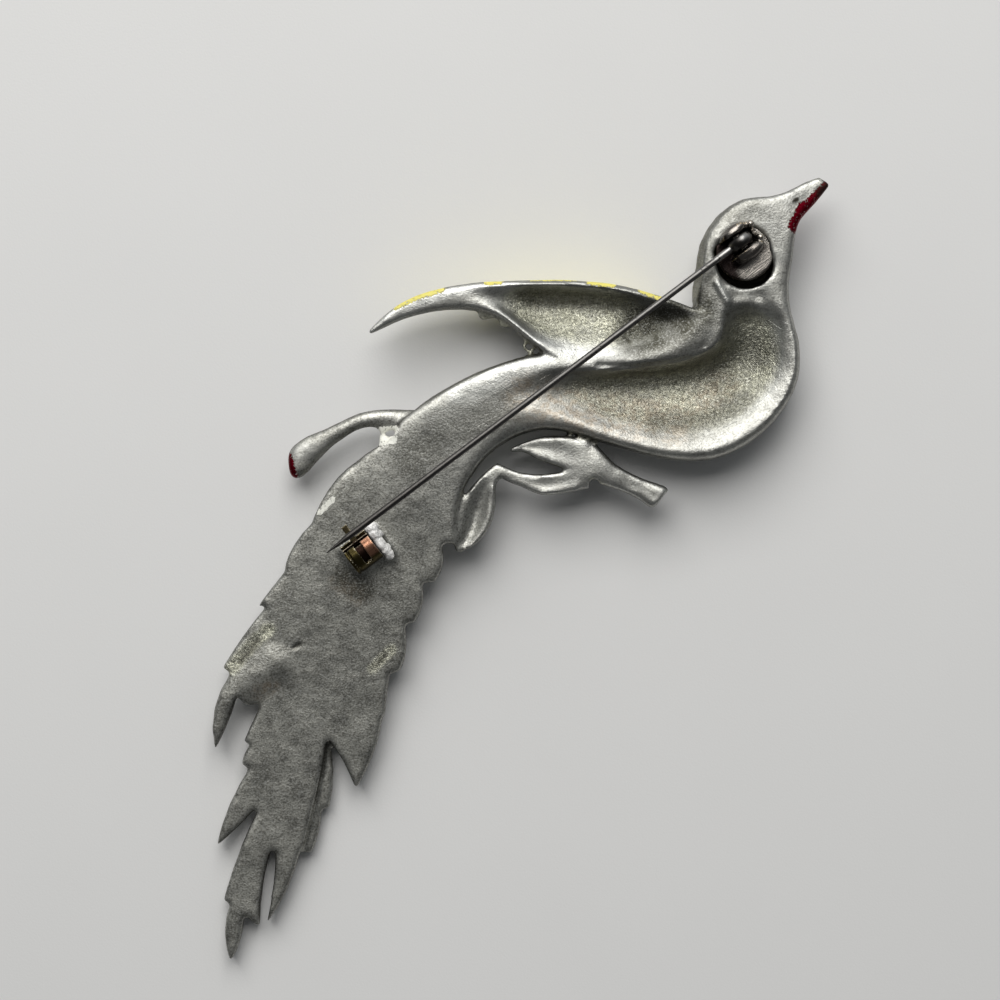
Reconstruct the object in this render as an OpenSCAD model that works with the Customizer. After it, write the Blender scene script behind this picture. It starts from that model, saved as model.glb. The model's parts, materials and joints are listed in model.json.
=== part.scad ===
// Back of a cast white-metal brooch: a long-tailed bird on a branch, lying on
// its front, with the swinging pin and the turning catch on its back.
// X runs to the right, Y towards the head and Z up from the surface.

/* [Casting] */
// Width of the casting, from the outer tail feather to the tip of the beak
cast_w = 68.2; // [60:0.1:76]
// Height of the casting, from the last tail feather to the tip of the beak
cast_h = 87.0; // [77:0.1:97]
// Height of the flat back above the surface that the front lies on
back_z = 7.0; // [6.6:0.1:8]
// Metal left under the deepest part of a hollow
shell_t = 1.4; // [1.1:0.1:1.9]
// Thickness of the tail plate
tail_t = 2.1; // [1.8:0.1:2.4]
// Thickness of the leaves
leaf_t = 1.7; // [1.3:0.1:2]
// Thickness of the branch
branch_t = 1.9; // [1.6:0.1:2.3]
// Radius of the quills that stand out on the front of the tail
quill_r = 0.6; // [0.4:0.05:0.8]

/* [Joint plate] */
// Diameter of the round plate that carries the pin
plate_d = 6.4; // [6:0.1:6.8]
// Thickness of the round plate
plate_t = 1.0; // [0.8:0.1:1.2]
// Depth of the round well in the head that takes the plate
well_d = 1.4; // [1.2:0.1:1.8]
// Play round the plate in its well
well_play = 0.12; // [0.08:0.02:0.4]
// Depth of the well's second cut, which shows as a crescent beside the plate
deep_d = 2.5; // [2.2:0.1:2.8]
// How far the second cut lies off the first
deep_shift = 0.7; // [0.4:0.05:0.8]
// Radius of the two round ears
ear_r = 1.9; // [1.7:0.05:2.1]
// Thickness of each ear
ear_t = 0.75; // [0.6:0.05:0.85]
// Gap between the ears
ear_gap = 1.5; // [1.3:0.05:1.6]
// How far the middle of an ear lies below the rivet
ear_drop = 0.75; // [0.6:0.05:0.9]
// How far the ears stand off the middle of the plate, across the pin
ear_off = 1.1; // [0.9:0.05:1.2]
// Height of the rivet above the plate
rivet_h = 2.0; // [1.8:0.1:2.3]
// Radius of the rivet's shank
rivet_r = 0.45; // [0.35:0.05:0.55]
// Radius of the rivet's two heads
rivet_head_r = 0.75; // [0.7:0.05:0.9]
// Thickness of each rivet head
rivet_head_t = 0.2; // [0.15:0.05:0.3]
// Thickness of the stop behind the ears
stop_t = 0.6; // [0.5:0.05:0.8]
// Height of the stop above the rivet
stop_h = 0.3; // [0.1:0.05:0.5]
// Depth of the notch in the stop
notch_d = 0.9; // [0.6:0.05:1.1]

/* [Pin] */
// Radius of the pin's wire
wire_r = 0.36; // [0.3:0.01:0.38]
// Radius of the wire where it leaves the head, from which it tapers
root_r = 0.46; // [0.4:0.01:0.5]
// Length of the taper, from the rivet
root_l = 3.5; // [3:0.1:5]
// Radius of the round head that turns on the rivet
drum_r = 1.4; // [1.2:0.05:1.5]
// Length of the pin's point
point_l = 3.0; // [2:0.5:5]
// Radius at the very end of the point
point_r = 0.05; // [0.03:0.01:0.1]

/* [Catch] */
// Outer radius of the catch's barrel
barrel_r = 1.85; // [1.8:0.05:2]
// Wall of the barrel
barrel_wall = 0.4; // [0.35:0.01:0.45]
// Length of the barrel along the pin
barrel_l = 3.3; // [3.2:0.1:4]
// Wall of the inner tube that turns in the barrel
rotor_wall = 0.4; // [0.35:0.01:0.5]
// Height of the barrel's middle above its seat
barrel_h = 2.2; // [2.1:0.05:2.5]
// Width of the barrel's foot across the pin
foot_w = 2.6; // [2.2:0.1:3]
// Length of the barrel's band on the joint's side of the slot
band_l = 1.15; // [0.9:0.05:1.5]
// Length of the rim round the barrel's open end
rim_l = 0.3; // [0.2:0.05:0.4]
// Length and depth of the fine groove that sets the rim off
groove_l = 0.2; // [0.1:0.05:0.3]
groove_d = 0.12; // [0.08:0.01:0.16]
// Width of the slot that the lever turns in
slot_w = 0.8; // [0.7:0.05:0.9]
// Reach of the lever from the middle of the barrel
lever_l = 3.45; // [3.2:0.05:3.7]
// Thickness of the lever
lever_t = 0.45; // [0.35:0.05:0.55]
// Distance of the barrel's middle from the pin, across
catch_off = 2.15; // [2.1:0.05:2.4]
// Distance of the barrel's middle from the pin's tip, along
catch_back = 2.95; // [2.8:0.05:3.8]

/* [Clearances] */
// Gap between fixed pieces that touch on the real brooch
seat_gap = 0.04; // [0.03:0.01:0.06]
// Radial gap of the turning fits
run_gap = 0.05; // [0.04:0.01:0.08]
// Side play of the pin's head between the ears
side_play = 0.1; // [0.06:0.01:0.15]
// Gap between the pin's head and the stop behind it
stop_gap = 0.2; // [0.15:0.05:0.3]
// Clearance of the resting pin above the lever's sweep
sweep_gap = 0.2; // [0.15:0.05:0.4]

/* [Hidden] */

// Grid that the outline is drawn on: its origin is the middle of the casting,
// and places in the tables below are in its units.
GRID_W = 620;
GRID_H = 791;

// Millimetres that one unit of the grid stands for
GRID_MM = cast_w / GRID_W;

function at(gx, gy) = [cast_w * gx / GRID_W, cast_h * gy / GRID_H];
function unit(v) = v / norm(v);
function right_of(v) = [v[1], -v[0]];

// Bird from the tip of the beak to the root of the tail. Each row is one
// section: left edge x y, right edge x y on the grid; height of the back, of
// the front's dome and of the widest line in percent of back_z; depth of the
// hollow in percent of the metal there; start and end of the hollow across
// the section in percent; lean of the hollow's deepest line, 100 for none.
BIRD = [
    [300, 394, 311, 386, 90, 66, 78, 0, 20, 80, 100],
    [284, 388, 296, 367, 94, 60, 78, 0, 20, 80, 100],
    [268, 380, 281, 350, 98, 50, 76, 0, 20, 80, 100],
    [250, 375, 276, 332, 100, 38, 72, 0, 20, 80, 100],
    [224, 373, 274, 310, 100, 30, 68, 0, 20, 80, 100],
    [198, 356, 271, 287, 100, 26, 66, 0, 25, 80, 100],
    [182, 329, 272, 267, 100, 24, 64, 0, 30, 80, 100],
    [177, 302, 276, 247, 100, 20, 60, 12, 53, 93, 100],
    [175, 288, 278, 240, 100, 17, 58, 28, 41, 93, 94],
    [174, 272, 281, 229, 100, 14, 56, 46, 28, 93, 83],
    [181, 248, 282, 204, 100, 7, 52, 58, 21, 93, 73],
    [182, 232, 276, 180, 100, 2, 48, 66, 13, 93, 65],
    [172, 220, 258, 152, 100, 0, 46, 70, 6, 93, 57],
    [150, 214, 230, 127, 100, 0, 46, 70, 5, 92, 54],
    [122, 212, 194, 112, 100, 3, 47, 66, 5, 92, 54],
    [94, 212, 152, 112, 100, 7, 49, 60, 8, 91, 56],
    [67, 214, 112, 121, 100, 12, 52, 50, 13, 90, 62],
    [42, 218, 82, 130, 100, 18, 56, 38, 18, 88, 72],
    [17, 218, 54, 139, 99, 25, 60, 22, 23, 86, 84],
    [-6, 213, 27, 142, 98, 32, 64, 9, 30, 76, 100],
    [-30, 205, 2, 136, 96, 39, 66, 3, 30, 75, 100],
    [-58, 192, -20, 124, 94, 45, 68, 0, 30, 75, 100],
    [-86, 176, -40, 104, 92, 49, 70, 0, 30, 75, 100]
];

// Tail, cut to its feathers further on. Each row: left x y, right x y, height
// of the back in percent of back_z.
TAIL = [
    [-108, 159, -56, 78, 89],
    [-133, 140, -62, 52, 86],
    [-163, 110, -60, 26, 82],
    [-205, 80, -58, 2, 77],
    [-268, -28, -88, -68, 65],
    [-316, -128, -116, -148, 54],
    [-322, -228, -152, -238, 46],
    [-316, -328, -200, -323, 40],
    [-304, -404, -262, -404, 37]
];

// Wing from its root to its tip. Columns as for the bird: leading edge x y,
// trailing edge x y, back, front, widest line, hollow, start, end, lean.
WING = [
    [172, 264, 200, 252, 99, 40, 66, 0, 15, 72, 100],
    [150, 273, 196, 230, 100, 24, 60, 8, 16, 66, 90],
    [122, 282, 166, 211, 100, 12, 54, 26, 12, 84, 72],
    [90, 289, 123, 203, 100, 3, 50, 48, 8, 92, 60],
    [52, 292, 84, 202, 100, 0, 50, 58, 7, 94, 56],
    [13, 292, 47, 206, 100, 2, 52, 54, 7, 92, 59],
    [-18, 291, 21, 222, 99, 10, 56, 38, 9, 87, 72],
    [-38, 290, -11, 249, 98, 20, 60, 12, 15, 81, 92],
    [-58, 287, -40, 261, 97, 32, 64, 0, 20, 75, 100],
    [-78, 283, -71, 262, 95, 42, 68, 0, 20, 75, 100],
    [-102, 276, -94, 258, 93, 48, 70, 0, 20, 75, 100],
    [-121, 266, -114, 253, 91, 53, 72, 0, 20, 75, 100],
    [-138, 252, -132, 245, 89, 60, 74, 0, 20, 75, 100],
    [-150, 240, -148, 237, 87, 68, 77, 0, 20, 75, 100]
];

// Feathers of the tail's outline, down the left side and up the right. Each
// row: tip x y, bulge of the edge that leads to the tip, notch behind it x y,
// bulge of the edge that leads to the notch.
FEATHERS_LEFT = [
    [-205, 53, 4, -206, 49, 0],
    [-234, 4, 4, -220, 16, 0],
    [-261, -35, 1, -250, -32, 0],
    [-297, -97, 2, -288, -101, 0],
    [-305, -179, 9, -282, -122, 2],
    [-274, -134, 1, -257, -129, 2],
    [-276, -171, 0, -269, -174, 0],
    [-278, -195, 2, -270, -197, 0],
    [-304, -277, 4, -256, -228, 2],
    [-297, -332, 3, -290, -335, 0],
    [-290, -394, 6, -277, -345, 4],
    [-261, -358, 1, -244, -266, -4],
    [-254, -357, -3, -219, -281, 4]
];
// Two feathers that lie on the front of the plate only, and the edge that the
// back of the plate has in their place
FEATHERS_LOW = [
    [-209, -285, 1, -198, -238, 3],
    [-191, -240, 1, -191, -166, 5]
];
FEATHERS_STEP = [
    [-217, -279, 0, -192, -166, 2]
];
FEATHERS_RIGHT = [
    [-163, -219, -2, -136, -146, 4],
    [-134, -144, 0, -129, -101, 0],
    [-118, -99, 1, -114, -52, 4],
    [-103, -50, 1, -97, -9, 5],
    [-83, -10, 1, -77, 29, 5]
];
// Corners that the outline closes through round the bird, and the edge from
// there past the claws to the first feather
OUTLINE_REST = [[-60, 29], [-38, 72], [340, 72], [340, 430], [-200, 430]];
OUTLINE_START = [[-103, 170], [-118, 149], [-126, 132], [-140, 126], [-168, 107]];
// Top of the front layer of the tail, in percent of back_z
LOW_TOP = 31;

// Leaves and branch: side edge x y, other edge x y, height of the back in
// percent of back_z, depth of the dish in percent of the thickness.
LEAF_UPPER = [
    [70, 132, 66, 95, 82, 0],
    [48, 136, 43, 104, 80, 8],
    [25, 136, 20, 112, 78, 12],
    [5, 130, 6, 120, 76, 8],
    [-9, 123, -7, 120, 74, 0]
];
LEAF_LOWER = [
    [64, 106, 62, 82, 81, 2],
    [46, 101, 42, 78, 80, 8],
    [25, 98, 22, 77, 79, 12],
    [5, 99, 4, 85, 78, 10],
    [-12, 105, -12, 91, 77, 4],
    [-22, 110, -23, 100, 76, 0]
];
LEAF_DOWN = [
    [-22, 109, -13, 98, 77, 0],
    [-36, 97, -22, 88, 79, 10],
    [-52, 79, -22, 72, 79, 34],
    [-60, 62, -24, 56, 78, 44],
    [-62, 45, -31, 40, 77, 40],
    [-63, 30, -44, 26, 76, 24],
    [-63, 21, -60, 19, 75, 0]
];
TWIG = [
    [57, 83, 59, 133, 81, 0],
    [72, 82, 74, 131, 82, 0],
    [83, 87, 84, 122, 82, 0],
    [94, 84, 96, 109, 80, 4],
    [108, 79, 113, 99, 78, 10],
    [122, 72, 129, 92, 77, 12],
    [132, 64, 147, 86, 77, 8],
    [136, 64, 151, 83, 76, 0]
];
ARM = [
    [-92, 162, -100, 140, 64, 0],
    [-118, 163, -126, 144, 66, 0],
    [-139, 163, -140, 145, 68, 0],
    [-160, 159, -157, 144, 67, 0],
    [-178, 151, -172, 136, 65, 0],
    [-195, 143, -187, 125, 63, 0],
    [-213, 136, -202, 110, 61, 0],
    [-227, 126, -215, 96, 59, 0],
    [-231, 117, -224, 93, 57, 0],
    [-231, 110, -229, 98, 55, 0]
];
// Small notch in the underside of the twig: middle x y, radius
NOTCH = [76, 88, 5.5];

// Small claws round the branch: from x y, to x y, half width, height in percent
CLAWS = [
    [-137, 143, -124, 146, 4, 58],
    [-137, 131, -126, 133, 4, 56],
    [-136, 142, -138, 132, 2.5, 55]
];
// Lobes along the wing's trailing edge: root x y, tip x y, half width, height
LOBES = [
    [-18, 260, -35, 257, 5.5, 72],
    [0, 248, -15, 248, 4.5, 72],
    [14, 238, 4, 238, 4.5, 72],
    [22, 230, 12, 232, 4, 70]
];
// Curl behind the wing: middle x y, ring radius, half thickness, height
CURL = [11, 226, 5, 2.2, 66];
// Quills on the front of the tail: root x y, end x y
QUILLS = [
    [-100, 90, -196, 66],
    [-110, 60, -222, 20],
    [-130, 30, -248, -24],
    [-150, -10, -282, -86],
    [-240, -45, -303, -140],
    [-190, -120, -270, -172],
    [-205, -170, -294, -262],
    [-245, -250, -286, -325],
    [-280, -300, -289, -384],
    [-222, -250, -247, -330],
    [-200, -150, -200, -225],
    [-160, -100, -164, -206],
    [-140, -60, -142, -132],
    [-120, -20, -120, -88],
    [-100, 20, -104, -42],
    [-84, 60, -86, 0]
];

// How deep a quill sinks into the plate, and its far end, in shares of its radius
QUILL_SUNK = 0.6;
QUILL_TAPER = 0.7;

// Round-off of a section's edges: of a flat back, of a domed front, of a
// plate's front and of the branch's back
FLAT_POWER = 7;
DOME_POWER = 2.2;
PLATE_POWER = 6;
ROUND_POWER = 2.6;
// Power of the sine that a hollow's floor follows
HOLLOW_POWER = 1.3;
// Share of a leaf's width on each side that its raised rim takes
RIM = 0.14;
// Places of the points between an edge and its hollow, in shares
EDGE_SHARES = [0.14, 0.5];
// Points across the hollow and the front of a section
HOLLOW_POINTS = 7;
FRONT_POINTS = 6;

function percent(p) = back_z * p / 100;

// Rows in millimetres: left x y, right x y, back, front, widest line, depth,
// start, end, lean, power of the front, power of the back.
function dome_row(r) =
    let (l = at(r[0], r[1]), q = at(r[2], r[3]), metal = percent(r[4] - r[5]) - shell_t)
    [l[0], l[1], q[0], q[1], percent(r[4]), percent(r[5]), percent(r[6]),
     max(0, metal) * r[7] / 100, r[8] / 100, r[9] / 100, r[10] / 100, DOME_POWER, FLAT_POWER];
function plate_row(r, t, dish = 0, power = FLAT_POWER) =
    let (l = at(r[0], r[1]), q = at(r[2], r[3]), top = percent(r[4]))
    [l[0], l[1], q[0], q[1], top, top - t, top - t / 2, t * dish / 100,
     RIM, 1 - RIM, 1, PLATE_POWER, power];

function spline_at(a, b, c, d, t) =
    0.5 * (2 * b + (c - a) * t + (2 * a - 5 * b + 4 * c - d) * t * t
           + (3 * b - a - 3 * c + d) * t * t * t);
function spline(rows, steps) =
    let (last = len(rows) - 1)
    [for (i = [0:last - 1]) for (j = [0:steps - 1])
        spline_at(rows[max(i - 1, 0)], rows[i], rows[i + 1], rows[min(i + 2, last)], j / steps),
     rows[last]];

// Share of the hollow's depth at the share u across a section
function hollow(r, u) =
    let (v = (u - r[8]) / (r[9] - r[8]))
    v <= 0 || v >= 1 ? 0 : pow(sin(180 * pow(v, r[10])), HOLLOW_POWER);
function rounded(u, power) = pow(max(0, 1 - pow(abs(2 * u - 1), power)), 1 / power);
function back_at(r, u) = r[6] + (r[4] - r[6]) * rounded(u, r[12]) - r[7] * hollow(r, u);
function front_at(r, u) = r[6] - (r[6] - r[5]) * rounded(u, r[11]);
function across(r, u) = [r[0] + (r[2] - r[0]) * u, r[1] + (r[3] - r[1]) * u];
function share(i, n) = 0.5 - 0.5 * cos(180 * i / (n + 1));

// Shares across the back: close together at the edges, then even in the hollow
function back_shares(r) = concat(
    [0, EDGE_SHARES[0] * r[8], EDGE_SHARES[1] * r[8]],
    [for (i = [0:HOLLOW_POINTS + 1]) r[8] + (r[9] - r[8]) * i / (HOLLOW_POINTS + 1)],
    [1 - EDGE_SHARES[1] * (1 - r[9]), 1 - EDGE_SHARES[0] * (1 - r[9]), 1]
);

function ring(r) = concat(
    [for (u = back_shares(r)) let (p = across(r, u)) [p[0], p[1], back_at(r, u)]],
    [for (i = [FRONT_POINTS:-1:1])
        let (u = share(i, FRONT_POINTS), p = across(r, u)) [p[0], p[1], front_at(r, u)]]
);

module loft(rows, steps) {
    rings = [for (r = spline(rows, steps)) ring(r)];
    n = len(rings[0]);
    m = len(rings);
    polyhedron(
        points = [for (g = rings) for (p = g) p],
        faces = concat(
            [[for (i = [n - 1:-1:0]) i]],
            [for (k = [0:m - 2]) for (i = [0:n - 1])
                let (j = (i + 1) % n) [k * n + i, k * n + j, (k + 1) * n + i]],
            [for (k = [0:m - 2]) for (i = [0:n - 1])
                let (j = (i + 1) % n) [(k + 1) * n + i, k * n + j, (k + 1) * n + j]],
            [[for (i = [0:n - 1]) (m - 1) * n + i]]
        ),
        convexity = 10
    );
}

// Edge from a to b, bulging to the right of its way by s, without its end
function edge(a, b, s, steps = 4) =
    let (side = right_of(unit(b - a)))
    [for (i = [0:steps - 1]) let (t = i / steps) a + (b - a) * t + side * (4 * s * t * (1 - t))];
function feather_edges(rows, from) =
    [for (i = [0:len(rows) - 1])
        let (r = rows[i],
             start = i == 0 ? from : at(rows[i - 1][3], rows[i - 1][4]),
             tip = at(r[0], r[1]),
             notch = at(r[3], r[4]))
        each concat(edge(start, tip, r[2] * GRID_MM), edge(tip, notch, r[5] * GRID_MM))];
function last_notch(rows) = let (r = rows[len(rows) - 1]) at(r[3], r[4]);

// Plan of the tail's feathers, closed round the rest of the bird
module outline(low) {
    rows = concat(FEATHERS_LEFT, low ? FEATHERS_LOW : FEATHERS_STEP, FEATHERS_RIGHT);
    way = [for (p = OUTLINE_START) at(p[0], p[1])];
    polygon(concat(
        [for (p = OUTLINE_REST) at(p[0], p[1])],
        way,
        feather_edges(rows, way[len(way) - 1]),
        [last_notch(rows)]
    ));
}

module bird() {
    rows = concat([for (r = BIRD) dome_row(r)], [for (r = TAIL) plate_row(r, tail_t)]);
    intersection() {
        loft(rows, 2);
        union() {
            linear_extrude(height = 2 * back_z) outline(false);
            linear_extrude(height = percent(LOW_TOP)) outline(true);
        }
    }
}

module wing() {
    loft([for (r = WING) dome_row(r)], 2);
}

module leaf(rows) {
    loft([for (r = rows) plate_row(r, leaf_t, r[5])], 2);
}

module branch(rows) {
    loft([for (r = rows) plate_row(r, branch_t, r[5], ROUND_POWER)], 2);
}

// Short rounded bars between two places on the grid
module bars(rows) {
    for (c = rows) {
        hull() {
            translate(concat(at(c[0], c[1]), [percent(c[5])])) sphere(r = c[4] * GRID_MM, $fn = 10);
            translate(concat(at(c[2], c[3]), [percent(c[5])])) sphere(r = c[4] * GRID_MM, $fn = 10);
        }
    }
}

module curl() {
    translate(concat(at(CURL[0], CURL[1]), [percent(CURL[4])])) rotate_extrude($fn = 16)
        translate([CURL[2] * GRID_MM, 0]) circle(r = CURL[3] * GRID_MM, $fn = 8);
}

function tail_front(gy) = percent(lookup(gy, [for (r = TAIL) [(r[1] + r[3]) / 2, r[4]]])) - tail_t;

module quill_end(gx, gy, r) {
    translate(concat(at(gx, gy), [tail_front(gy) + r * QUILL_SUNK])) sphere(r = r, $fn = 6);
}

module quills() {
    for (q = QUILLS) {
        hull() {
            quill_end(q[0], q[1], quill_r);
            quill_end(q[2], q[3], quill_r * QUILL_TAPER);
        }
    }
}

// Place and way of the pin, seen from above. The rivet is the joint's middle;
// RIVET and TIP are the rivet's and the pin point's places on the grid.
RIVET = [219.5, 327];
TIP = [-188, 20];
// Way from the plate's middle to that of the well's second cut
DEEP_WAY = [0.2, -1];
// How far the second cut reaches in under the plate's edge
SEAT_INSET = 0.5;
// Height of the catch's seat in percent of back_z
SEAT = 78;
// Width of the solder round the catch's foot, on top and further out at its skirt
SOLDER_RIM = 0.3;
SOLDER_SKIRT = 0.5;
// Beads of solder at the barrel's end: place across in shares of foot_w, height
// in shares of barrel_h, radius
SOLDER_BEADS = [
    [-0.5, 0.02, 0.5],
    [0.8, -0.05, 0.5],
    [-0.45, 1.15, 0.42],
    [0.3, 1.25, 0.42],
    [0.72, 0.6, 0.45]
];
// Opening of the barrel and of the inner tube, in degrees up from the pin's side
MOUTH_FROM = 16;
MOUTH_TO = 56;
// Free turn left at each end of the lever's slot
SLOT_MARGIN = 4;
// Lever at rest and its turn, in degrees up from the pin's side
LEVER_REST = 2;
LEVER_TURN = 125;

rivet_at = at(RIVET[0], RIVET[1]);
tip_at = at(TIP[0], TIP[1]);
pin_way = unit(tip_at - rivet_at);
pin_reach = norm(tip_at - rivet_at);
pin_yaw = atan2(pin_way[1], pin_way[0]);
plate_at = rivet_at - right_of(pin_way) * ear_off;
deep_at = plate_at + unit(DEEP_WAY) * deep_shift;
plate_z = back_z - well_d + seat_gap;
plate_top = plate_z + plate_t;
rivet_z = plate_top + rivet_h;
ears_w = ear_gap + 2 * ear_t;
stop_w = ear_gap + ear_t;

catch_at = tip_at - pin_way * catch_back - right_of(pin_way) * catch_off;
seat_z = percent(SEAT);
barrel_z = seat_z + seat_gap + barrel_h;
bore_r = barrel_r - barrel_wall;
rotor_r = bore_r - run_gap;
// The resting pin lies just above the lever's sweep
sweep_rise = sqrt(max(0, pow(lever_l, 2) - pow(catch_off - wire_r, 2)));
pin_rise = barrel_z + sweep_rise + wire_r + sweep_gap - rivet_z;
pin_run = pin_reach - catch_back + barrel_l / 2;
pin_tilt = atan2(pin_rise, pin_run - barrel_l);
pin_l = pin_reach / cos(pin_tilt);
// Slack of a slot's ends beside the lever, in degrees
slot_slack = asin(lever_t / 2 / bore_r) + SLOT_MARGIN;

// Puts its children in the joint's frame: X towards the pin's point, Y across
module at_rivet(z) {
    translate([rivet_at[0], rivet_at[1], z]) rotate([0, 0, pin_yaw]) children();
}

// Puts its children in the catch's frame: X along the pin, the barrel's middle
// at the origin and the pin on the side of -Y
module at_catch() {
    translate([catch_at[0], catch_at[1], barrel_z]) rotate([0, 0, pin_yaw]) children();
}

// A cylinder along X from x0 to x1
module rod(r, x0, x1, fn = 48) {
    translate([x0, 0, 0]) rotate([0, 90, 0]) cylinder(r = r, h = x1 - x0, $fn = fn);
}

// A cone along X from the radius r0 at x0 to r1 at x1
module taper(r0, r1, x0, x1, fn = 48) {
    translate([x0, 0, 0]) rotate([0, 90, 0]) cylinder(r1 = r0, r2 = r1, h = x1 - x0, $fn = fn);
}

// A cylinder along Y, centred
module axle(r, w, fn = 48) {
    rotate([90, 0, 0]) cylinder(r = r, h = w, center = true, $fn = fn);
}

// A wedge of a disc round X, from x0 to x1, between two angles up from -Y
module wedge(r, from, to, x0, x1) {
    n = ceil((to - from) / 30);
    translate([x0, 0, 0]) rotate([90, 0, 90]) linear_extrude(height = x1 - x0)
        polygon(concat([[0, 0]], [for (i = [0:n])
            let (a = 180 - from - (to - from) * i / n) [r * cos(a), r * sin(a)]]));
}

// Well for the plate, and its second cut, deeper and a little off the first
module well() {
    translate([plate_at[0], plate_at[1], back_z - well_d])
        cylinder(r = plate_d / 2 + well_play, h = 2 * well_d, $fn = 48);
    translate([deep_at[0], deep_at[1], back_z - deep_d])
        cylinder(r = plate_d / 2 + well_play, h = 2 * deep_d, $fn = 48);
}

// Seat under the plate, which the second cut leaves standing
module well_seat() {
    translate([plate_at[0], plate_at[1], back_z - 2 * deep_d])
        cylinder(r = plate_d / 2 - SEAT_INSET, h = 2 * deep_d - well_d, $fn = 40);
}

// Solder that holds the catch: a flat seat with a sloping foot, and beads that
// climb the end of the barrel
module solder() {
    k = barrel_l / 2;
    wide = foot_w / 2 + SOLDER_RIM;
    skirt = wide + SOLDER_SKIRT;
    translate([catch_at[0], catch_at[1], 0]) rotate([0, 0, pin_yaw]) {
        hull() {
            translate([-k, -wide, seat_z - tail_t / 2])
                cube([2 * k + SOLDER_RIM, 2 * wide, tail_t / 2]);
            translate([-k - SOLDER_SKIRT, -skirt, seat_z - tail_t])
                cube([2 * (k + SOLDER_SKIRT), 2 * skirt, tail_t / 2]);
        }
        hull() for (b = SOLDER_BEADS) {
            translate([-k - seat_gap - b[2], b[0] * foot_w, seat_z + b[1] * barrel_h])
                sphere(r = b[2], $fn = 10);
        }
    }
}

module casting() {
    color("silver") difference() {
        union() {
            bird();
            wing();
            quills();
            leaf(LEAF_UPPER);
            leaf(LEAF_LOWER);
            leaf(LEAF_DOWN);
            branch(ARM);
            branch(TWIG);
            bars(CLAWS);
            bars(LOBES);
            curl();
            solder();
        }
        difference() {
            well();
            well_seat();
        }
        translate(concat(at(NOTCH[0], NOTCH[1]), [0]))
            cylinder(r = GRID_MM * NOTCH[2], h = 2 * back_z, $fn = 14);
    }
}

module plate_disc(h) {
    translate([plate_at[0], plate_at[1], plate_z]) cylinder(d = plate_d, h = h, $fn = 64);
}

// One of the two round ears that stand up from the plate
module ear(side) {
    translate([0, side * (ear_gap + ear_t) / 2, -ear_drop]) axle(ear_r, ear_t);
}

// Low wall behind the ears, with a notch that the pin's head shows through
module stop() {
    back_x = -drum_r - stop_gap - stop_t;
    difference() {
        translate([back_x, -stop_w / 2, -rivet_h - plate_t / 2])
            cube([stop_t, stop_w, rivet_h + plate_t / 2 + stop_h]);
        translate([back_x, 0, stop_h]) rotate([45, 0, 0])
            cube([4 * stop_t, notch_d * sqrt(2), notch_d * sqrt(2)], center = true);
    }
}

module joint_plate() {
    color("dimgray") difference() {
        union() {
            plate_disc(plate_t);
            intersection() {
                plate_disc(plate_t + rivet_h + ear_r);
                at_rivet(rivet_z) {
                    ear(1);
                    ear(-1);
                    stop();
                }
            }
        }
        at_rivet(rivet_z) axle(rivet_r + seat_gap, 2 * ears_w);
    }
}

module joint_rivet() {
    color("gray") at_rivet(rivet_z) {
        axle(rivet_r, ears_w + 2 * seat_gap + rivet_head_t);
        for (side = [-1, 1]) {
            translate([0, side * (ears_w / 2 + seat_gap + rivet_head_t / 2), 0])
                axle(rivet_head_r, rivet_head_t);
        }
    }
}

module pin_stem() {
    color("darkgray") at_rivet(rivet_z) rotate([0, -pin_tilt, 0]) difference() {
        union() {
            axle(drum_r, ear_gap - 2 * side_play);
            taper(root_r, wire_r, 0, root_l);
            rod(wire_r, root_l, pin_l - point_l);
            taper(wire_r, point_r, pin_l - point_l, pin_l);
        }
        axle(rivet_r + run_gap, 4 * ear_gap);
    }
}

module catch_barrel() {
    k = barrel_l / 2;
    color("goldenrod") at_catch() difference() {
        union() {
            rod(barrel_r - groove_d, -k, k);
            rod(barrel_r, -k, k - rim_l - groove_l);
            rod(barrel_r, k - rim_l, k);
            translate([-k, -foot_w / 2, -barrel_h])
                cube([2 * k, foot_w, barrel_h]);
        }
        rod(bore_r, -2 * k, 2 * k);
        wedge(2 * barrel_r, MOUTH_FROM, MOUTH_TO, -2 * k, 2 * k);
        wedge(2 * barrel_r, LEVER_REST - slot_slack, LEVER_REST + LEVER_TURN + slot_slack,
              band_l - k, band_l + slot_w - k);
    }
}

module catch_rotor() {
    k = barrel_l / 2;
    lever_w = slot_w - 2 * run_gap;
    color("peru") at_catch() {
        difference() {
            rod(rotor_r, -k, k);
            rod(rotor_r - rotor_wall, -2 * k, 2 * k);
            wedge(2 * barrel_r, MOUTH_FROM, MOUTH_TO, -2 * k, 2 * k);
        }
        intersection() {
            rotate([-LEVER_REST, 0, 0])
                translate([band_l + run_gap - k, -2 * lever_l, -lever_t / 2])
                    cube([lever_w, 2 * lever_l - rotor_r + rotor_wall / 2, lever_t]);
            rod(lever_l, -k, k);
        }
    }
}

casting();
joint_plate();
joint_rivet();
pin_stem();
catch_barrel();
catch_rotor();
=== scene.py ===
"""Looks of a cast white-metal bird brooch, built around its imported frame.

The brooch lies on its front, so its hollowed back, the swinging pin and the
turning catch are what shows. Sizes here are in millimetres in the frame of the
part: X to the right, Y towards the head, Z up. Meshes are worked on in
millimetres and brought to metres as the last step of each piece.
"""

import json
import logging
import math
from collections.abc import Callable
from dataclasses import dataclass
from enum import Enum

import bpy
import numpy as np
from mathutils import Matrix, Vector

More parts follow.
